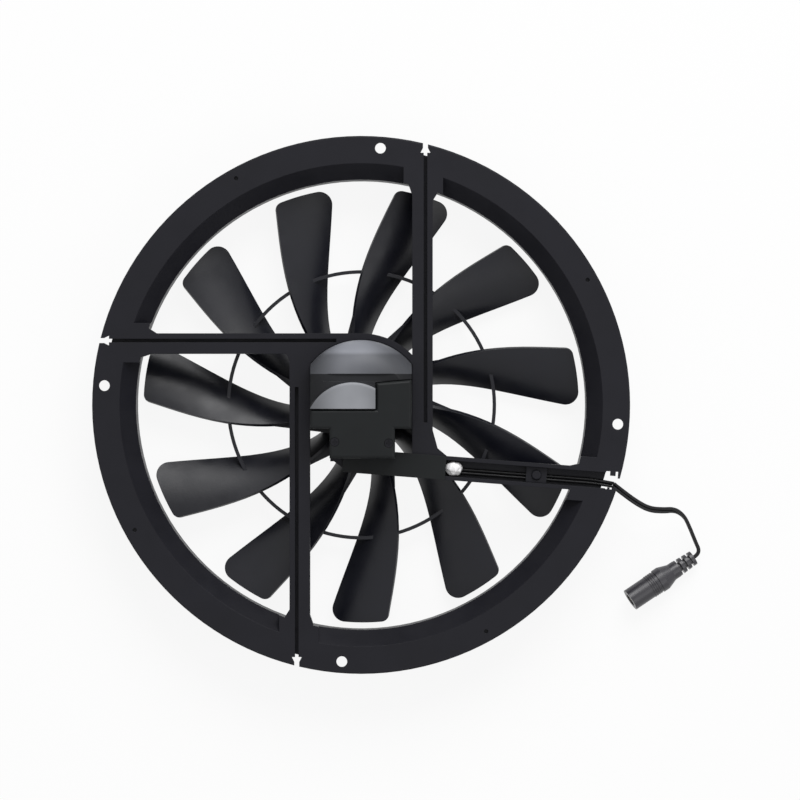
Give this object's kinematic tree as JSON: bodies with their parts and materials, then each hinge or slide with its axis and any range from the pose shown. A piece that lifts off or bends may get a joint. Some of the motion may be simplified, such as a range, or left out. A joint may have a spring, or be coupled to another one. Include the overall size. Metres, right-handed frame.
{
  "type": "exhaust fan",
  "caption": "Round black low-voltage exhaust fan with tangential arms, grey motor hood, tie-ringed impeller and a short lead with an in-line power socket.",
  "frame": {"origin": "on the spin axis at the duct's rear edge, where the fan rests on the floor", "axes": "+Z along the spin axis towards the motor side, +X towards the cable arm's end"},
  "size_m": [0.2958, 0.26, 0.0559],
  "materials": {
    "frame_plastic": "satin black moulded plastic",
    "impeller_plastic": "semi-gloss black moulded plastic",
    "hood_plastic": "glossy grey",
    "cover_plastic": "satin black moulded plastic",
    "motor_steel": "plated steel",
    "motor_plastic": "matte",
    "bearing_bronze": "sintered bronze",
    "ferrite": "ground ferrite",
    "core_steel": "stacked laminations",
    "copper": "enamelled copper",
    "carbon": "pressed carbon",
    "terminal_brass": "plain brass",
    "zinc_steel": "zinc plated steel",
    "black_steel": "black oxide steel",
    "lead_insulation": "satin flexible plastic",
    "hot_melt_glue": "translucent white",
    "socket_plastic": "satin dark grey moulding",
    "socket_insert_plastic": "matte",
    "nickel": "nickel plated"
  },
  "bodies": {
    "frame": {"fan_frame": "frame_plastic", "lead_clip": "frame_plastic", "motor_can": "motor_steel", "motor_end_cap": "motor_plastic", "front_bearing": "bearing_bronze", "rear_bearing": "bearing_bronze", "field_magnets": "ferrite", "carbon_brushes": "carbon", "motor_terminals": "terminal_brass", "motor_screws": "zinc_steel", "cover_screws": "black_steel", "motor_hood": "hood_plastic", "terminal_cover": "cover_plastic", "arm_lead": "lead_insulation", "free_lead": "lead_insulation", "glue_bead": "hot_melt_glue", "socket_shell": "socket_plastic", "socket_insert": "socket_insert_plastic", "socket_sleeve": "nickel", "socket_pin": "nickel"},
    "rotor": {"motor_shaft": "zinc_steel", "armature_core": "core_steel", "armature_windings": "copper", "commutator": "copper", "impeller": "impeller_plastic", "hub_insert": "terminal_brass", "hub_washer": "zinc_steel", "hub_nut": "zinc_steel"}
  },
  "joints": [
    {"name": "impeller_spin", "type": "hinge", "parent": "frame", "child": "rotor", "pos_m": [0, 0, 0.0102], "axis": [0, 0, 1], "continuous": true}
  ]
}
